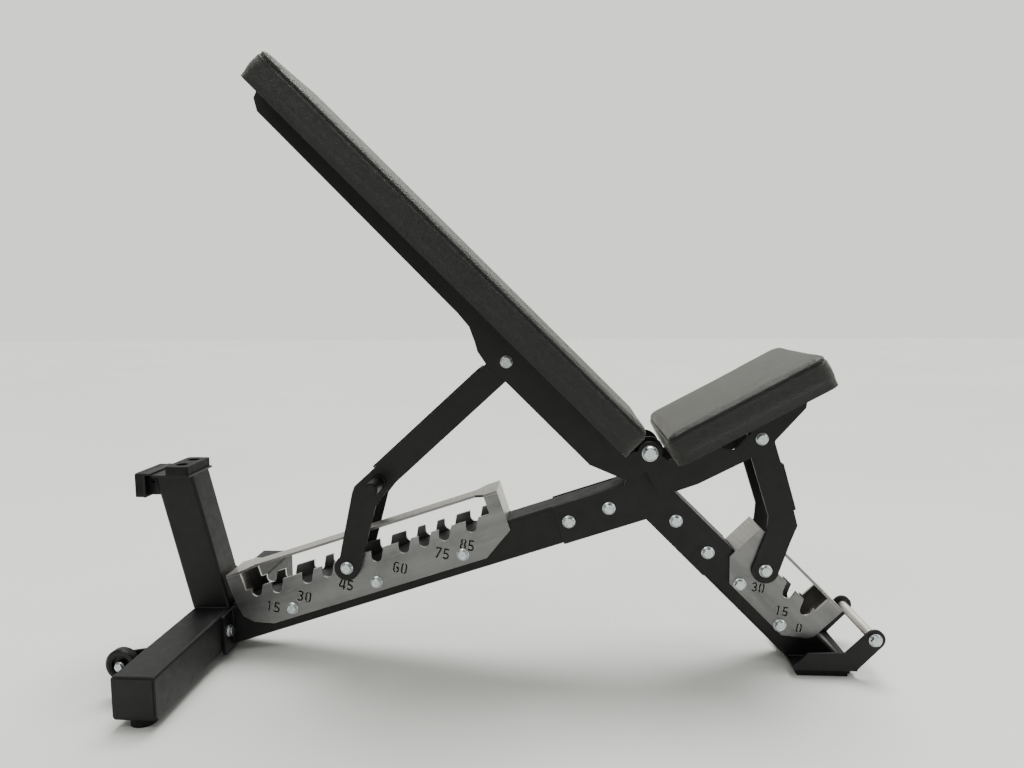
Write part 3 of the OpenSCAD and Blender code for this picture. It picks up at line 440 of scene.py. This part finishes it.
def stuff(obj, pinned, clamp):
    """Inflates a pad with cloth simulation, evens out each point's movement and holds it small."""
    bpy.context.view_layer.objects.active = obj
    voxels(obj)
    start = [v.co.copy() for v in obj.data.vertices]
    group = obj.vertex_groups.new(name="pin")
    group.add([i for i, co in enumerate(start) if pinned(co)], 1.0, "REPLACE")
    cloth = obj.modifiers.new("cloth", "CLOTH")
    c = cloth.settings
    c.quality = 4
    c.use_pressure = True
    c.uniform_pressure_force = 4.0
    c.vertex_group_mass = "pin"
    c.effector_weights.gravity = 0.0
    c.tension_stiffness = 30
    c.compression_stiffness = 30
    c.bending_stiffness = 2.0
    for frame_number in range(1, 21):
        bpy.context.scene.frame_set(frame_number)
    bake(obj)
    bpy.context.scene.frame_set(1)
    moved = np.array([v.co - a for v, a in zip(obj.data.vertices, start)])
    pairs = np.array([e.vertices[:] for e in obj.data.edges])
    even = averaged(moved, pairs, 40)
    moved = even + 0.2 * (averaged(moved, pairs, 2) - even)
    for v, a, step in zip(obj.data.vertices, start, moved):
        wide = math.hypot(step[0], step[1])
        side = min(1.0, SIDE_CAP / max(wide, 1e-9))
        rise = max(-FRONT_CAP, min(FRONT_CAP, step[2]))
        v.co = clamp(a + Vector((step[0] * side, step[1] * side, rise)))


def bake(obj):
    """Replaces the mesh by what its modifiers make of it."""
    dg = bpy.context.evaluated_depsgraph_get()
    dg.update()
    made = bpy.data.meshes.new_from_object(obj.evaluated_get(dg))
    old = obj.data
    obj.modifiers.clear()
    obj.data = made
    bpy.data.meshes.remove(old)


def fill_out(obj, low, high):
    """Brings the pad to its full size; remeshing and subdividing shrink it a little."""
    co = np.empty(len(obj.data.vertices) * 3)
    obj.data.vertices.foreach_get("co", co)
    co = co.reshape(-1, 3)
    least, most = co.min(axis=0), co.max(axis=0)
    co = np.array(low) + (co - least) * (np.array(high) - np.array(low)) / (most - least)
    obj.data.vertices.foreach_set("co", co.ravel())
    obj.data.update()


def rounded_distance(x, y, u0, u1, half_width, corner):
    """How far a point lies inside a rectangle with round corners, and its outward direction."""
    qx = abs(x - (u0 + u1) / 2) - (u1 - u0) / 2 + corner
    qy = abs(y) - half_width + corner
    sx, sy = math.copysign(1, x - (u0 + u1) / 2), math.copysign(1, y)
    if qx > 0 and qy > 0:
        length = math.hypot(qx, qy)
        return corner - length, Vector((sx * qx / length, sy * qy / length, 0))
    if qx > qy:
        return corner - qx, Vector((sx, 0, 0))
    return corner - qy, Vector((0, sy, 0))


def ease(value, low, high):
    """0 below low, 1 above high, smooth between."""
    t = max(0.0, min(1.0, (value - low) / (high - low)))
    return t * t * (3 - 2 * t)


def make_pad(name, body, node, degrees, flip, u0, u1, rear, front):
    """A crowned pad with its sewn edge, its vinyl wrapped over the board's rear."""
    half_width, corner, inset = PAD_HALF_WIDTH, PAD_CORNER, START_INSET
    bm = pad_start(u0 + inset, u1 - inset, half_width - inset, rear + inset, front - inset, corner)
    obj = new_object(name, bm, MATERIALS["vinyl"])
    board_top = rear + BOARD_THICKNESS

    def clamp(co):
        co.x = max(u0 + PIVOT_GAP, co.x)
        co.z = max(rear, co.z)
        return co

    stuff(obj, lambda co: co.z < board_top - 0.004, clamp)
    subdivide = obj.modifiers.new("subdivide", "SUBSURF")
    subdivide.levels = subdivide.render_levels = 1
    bake(obj)
    fill_out(obj, (u0 + PIVOT_GAP, -half_width - 0.001, rear),
             (u1 + 0.001, half_width + 0.001, front + 0.001))

    seam_w = front - SEAM_DEPTH
    for v in obj.data.vertices:
        co = v.co
        inside, out = rounded_distance(co.x, co.y, u0, u1, half_width, corner)
        wobble = 0.0016 * math.sin(co.x * 61 + co.y * 23)
        wobble += 0.0009 * math.sin(co.x * 173 - co.y * 131)
        # the lower walls and the wrapped strip keep to the board
        if co.z < rear + WALL_TOP and inside < EDGE_BAND:
            hold = 1 - ease(co.z, board_top, rear + WALL_TOP)
            target = WALL_INSET + (max(0.0, inside - 0.0029)
                                   * (EDGE_BAND - WALL_INSET) / (EDGE_BAND - 0.0029))
            co += out * (inside - target) * hold
        if co.z < rear + 0.008:
            if inside > STRIP_WIDTH + wobble and co.z < rear + 0.0035:
                co.z = rear + 0.004
            else:
                flat = 1 - ease(co.z, rear + 0.0015, rear + 0.008)
                co.z += (rear - STRIP_PROUD - co.z) * flat
        # the foam rounds the side out between the board and the seam, least at the pivot
        height = (co.z - rear - 0.008) / (seam_w - rear - 0.008)
        if 0 < height < 1 and inside < EDGE_BAND:
            co += out * SIDE_SWELL * math.sin(math.pi * height) * (1 - max(0.0, -out.x))
        # the sewn groove runs round the side between two soft ridges
        side = 1 - ease(inside, 0.004, 0.010)
        if side > 0 and co.z > rear + 0.02:
            groove = GROOVE_DEPTH * math.exp(-((co.z - seam_w) / 0.0020) ** 2)
            ridge = FRONT_RIDGE * math.exp(-((co.z - seam_w - 0.0042) / 0.0022) ** 2)
            ridge += REAR_RIDGE * math.exp(-((co.z - seam_w + 0.0044) / 0.0024) ** 2)
            fade = math.exp(-((co.z - seam_w + 0.008) / 0.009) ** 2)
            pull = 0.00028 * math.sin((co.x + co.y) * 300) * fade
            co += out * (ridge + pull - groove) * side
        # a gentle crown over the front panel
        if co.z > front - 0.02:
            rise = CROWN * (1 - (1 - min(1.0, max(0.0, inside) / CROWN_REACH)) ** 2)
            co.z += rise * min(1.0, (co.z - front + 0.02) / 0.02)
    obj.data.update()

    # stitches: short rounded threads that lie in the groove
    tree = BVHTree.FromPolygons([v.co for v in obj.data.vertices],
                                [p.vertices for p in obj.data.polygons])
    stitches = bmesh.new()
    points = outline(u0 + 0.012, u1 - 0.012, half_width - 0.012, corner - 0.012, STITCH_STEP)
    for p, d in points[::2]:
        origin = Vector((p.x + d.x * 0.05, p.y + d.y * 0.05, seam_w))
        hit = tree.ray_cast(origin, Vector((-d.x, -d.y, 0)))[0]
        if hit is None:
            continue
        out, along = Vector((d.x, d.y, 0)), Vector((-d.y, d.x, 0))
        rings = []
        for t, k in ((-1.0, 0.35), (-0.8, 0.85), (-0.3, 1.0), (0.3, 1.0), (0.8, 0.85), (1.0, 0.35)):
            lift = 0.0006 * (1 - t * t) - 0.0001
            centre = (hit + along * (t * STITCH_HALF_LENGTH) + out * lift
                      + Vector((0, 0, 0.00025 * t)))
            rings.append([
                centre + (out * math.cos(a) + Vector((0, 0, 1)) * math.sin(a)) * STITCH_RADIUS * k
                for a in [2 * math.pi * j / 6 for j in range(6)]
            ])
        loft(stitches, rings)
    thread = new_object(name + "_stitches", stitches, THREAD)

    # staples through the wrapped strip into the board
    staples = bmesh.new()
    points = outline(u0 + 0.016, u1 - 0.016, half_width - 0.016, corner - 0.016, STAPLE_STEP)
    for i, (p, d) in enumerate(points[3::6]):
        turn = 0.5 * math.sin(i * 12.9898)
        along = Vector((-d.y, d.x, 0)) * math.cos(turn) + Vector((d.x, d.y, 0)) * math.sin(turn)
        across = Vector((-along.y, along.x, 0))
        rings = []
        for t, drop in ((-1.0, 0.0), (-0.93, 0.0002), (-0.7, 0.0003),
                        (0.7, 0.0003), (0.93, 0.0002), (1.0, 0.0)):
            centre = Vector((p.x, p.y, rear - 0.0006 - drop)) + along * (t * STAPLE_HALF_LENGTH)
            rings.append([
                centre + across * (0.00062 * math.cos(a)) + Vector((0, 0, 0.00038 * math.sin(a)))
                for a in [2 * math.pi * j / 8 for j in range(8)]
            ])
        loft(staples, rings)
    staples = new_object(name + "_staples", staples, MATERIALS["zinc"])

    place = at_angle(degrees)
    if flip:
        place = place @ Matrix.Rotation(math.pi, 4, "Z")
    for o in (obj, thread, staples):
        o.data.transform(place)
        o.data.update()
        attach(o, body)
    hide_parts(node)


make_pad(
    "back_cushion", "backrest", "back_pad", BACK_ANGLE, True, 0.038, 0.991, -0.031, 0.028)
make_pad(
    "seat_cushion", "seat", "seat_pad", -SEAT_ANGLE, False, 0.032, 0.342, -0.029, 0.029)


# ---------- weld beads ----------

def bead(bm, start, end, radius):
    """A rippled fillet of weld along a line."""
    start, end = Vector(start) * MM, Vector(end) * MM
    along = (end - start).normalized()
    side = along.cross(Vector((0, 0, 1)))
    if side.length < 0.1:
        side = along.cross(Vector((0, 1, 0)))
    side.normalize()
    other = along.cross(side)
    length = (end - start).length
    count = max(8, round(length / 0.0008))
    rings = []
    for i in range(count + 1):
        t = i / count
        ripple = abs(math.sin(math.pi * t * length / 0.0032))
        taper = min(1.0, 0.35 + 12 * min(t, 1 - t))
        r = radius * MM * (0.80 + 0.22 * ripple + 0.06 * math.sin(t * 37)) * taper
        centre = start + (end - start) * t
        rings.append([centre + (side * math.cos(a) + other * math.sin(a)) * r
                      for a in [2 * math.pi * j / 10 for j in range(10)]])
    loft(bm, rings)


def frame_welds():
    bm = bmesh.new()
    for y in (-38.0, 38.0):
        bead(bm, (-616, y, 93), (-546, y, 93), 2.6)                    # post on the stabiliser
        bead(bm, (-537, y, 22), (-537, y, 91), 2.6)                    # spine on its flange
        bead(bm, (556, y, 19.5), (650, y, 19.5), 2.8)                  # leg on the foot plate
    for x, z in ((-619.5, 90.0), (-542.5, 90.0)):
        bead(bm, (x, -30, z), (x, 30, z), 2.4)
    bead(bm, (-537.5, -31, 97.2), (-537.5, 31, 97.2), 2.6)
    for y in (-209.6, -203.4, 203.4, 209.6):
        bead(bm, (-619.0, y, 40), (-619.0, y, 84), 1.9)                # wheel brackets
    welds = new_object("frame_welds", bm, MATERIALS["powder_coat"])
    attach(welds, "frame")


frame_welds()


# ---------- stage, light and camera ----------

# Strengths of the background that the camera sees and of the ceiling light
SEEN = 1.25
SUN = 5.0


def stage():
    floor_bm = bmesh.new()
    bmesh.ops.create_grid(floor_bm, x_segments=4, y_segments=4, size=14.0)
    s = Shader("pale_floor", Specular_IOR_Level=0.3)
    cloud = s.noise(0.8, 3.0)
    base = s.mix_colour(s.spread(cloud, 0, 1), (0.60, 0.60, 0.585), (0.635, 0.635, 0.62))
    s.put(s.bsdf, "Base Color", base)
    s.put(s.bsdf, "Roughness", s.spread(s.noise(30.0, 4.0), 0.5, 0.62))
    floor = new_object("floor", floor_bm, s.material, smooth=False)

    world = bpy.data.worlds.new("studio")
    bpy.context.scene.world = world
    world.use_nodes = True
    tree = world.node_tree
    tree.nodes.clear()
    out = tree.nodes.new("ShaderNodeOutputWorld")
    background = tree.nodes.new("ShaderNodeBackground")
    tree.links.new(background.outputs[0], out.inputs[0])
    # what lights the object is pale overhead and behind, dimmer in front;
    # what the camera sees is one even pale tone
    direction = tree.nodes.new("ShaderNodeTexCoord").outputs["Generated"]
    split = tree.nodes.new("ShaderNodeSeparateXYZ")
    tree.links.new(direction, split.inputs[0])

    def ramp(value, low, high, start, end):
        n = tree.nodes.new("ShaderNodeMapRange")
        n.interpolation_type = "SMOOTHSTEP"
        tree.links.new(value, n.inputs["Value"])
        for key, v in (("From Min", start), ("From Max", end), ("To Min", low), ("To Max", high)):
            n.inputs[key].default_value = v
        return n.outputs[0]

    above = ramp(split.outputs["Z"], 0.30, 1.05, -0.05, 0.9)
    behind = ramp(split.outputs["Y"], 0.55, 1.25, -0.5, 0.8)
    product = tree.nodes.new("ShaderNodeMath")
    product.operation = "MULTIPLY"
    tree.links.new(above, product.inputs[0])
    tree.links.new(behind, product.inputs[1])
    seen = tree.nodes.new("ShaderNodeLightPath").outputs["Is Camera Ray"]
    pick = tree.nodes.new("ShaderNodeMix")
    pick.data_type = "FLOAT"
    tree.links.new(seen, pick.inputs[0])
    tree.links.new(product.outputs[0], pick.inputs[2])
    pick.inputs[3].default_value = SEEN
    tree.links.new(pick.outputs[0], background.inputs["Strength"])
    background.inputs["Color"].default_value = (0.985, 1.0, 0.945, 1)

    def lamp(name, kind, at, target, power, colour, **settings):
        data = bpy.data.lights.new(name, kind)
        data.energy = power
        data.color = colour
        for key, value in settings.items():
            setattr(data, key, value)
        light = bpy.data.objects.new(name, data)
        light.location = at
        light.rotation_mode = "QUATERNION"
        light.rotation_quaternion = (Vector(target) - Vector(at)).to_track_quat("-Z", "Y")
        bpy.context.scene.collection.objects.link(light)

    lamp("ceiling", "SUN", (0.3, 1.0, 3.0), (0.0, 0.0, 0.0), SUN, (1.0, 1.0, 0.97),
         angle=math.radians(40))
    lamp("key", "AREA", (-0.9, -1.9, 2.6), (0.0, 0.0, 0.4), 22, (1.0, 0.99, 0.97),
         shape="RECTANGLE", size=1.6, size_y=0.7)
    lamp("side", "AREA", (2.6, -0.9, 1.5), (0.2, 0.0, 0.4), 14, (0.97, 0.99, 1.0),
         shape="RECTANGLE", size=0.7, size_y=1.6)


def camera():
    data = bpy.data.cameras.new("camera")
    data.sensor_width = 36.0
    data.lens = 26.742
    cam = bpy.data.objects.new("camera", data)
    yaw, pitch, roll = (math.radians(v) for v in (3.5793, 5.9026, -0.3690))
    forward = Vector((-math.sin(yaw) * math.cos(pitch), math.cos(yaw) * math.cos(pitch),
                      -math.sin(pitch)))
    right = Vector((math.cos(yaw), math.sin(yaw), 0))
    up = right.cross(forward)
    right, up = (right * math.cos(roll) + up * math.sin(roll),
                 up * math.cos(roll) - right * math.sin(roll))
    turn = Matrix((right, up, -forward)).transposed().to_4x4()
    cam.matrix_world = Matrix.Translation((0.117, -1.4712, 0.6936)) @ turn
    bpy.context.scene.collection.objects.link(cam)
    bpy.context.scene.camera = cam


stage()
camera()
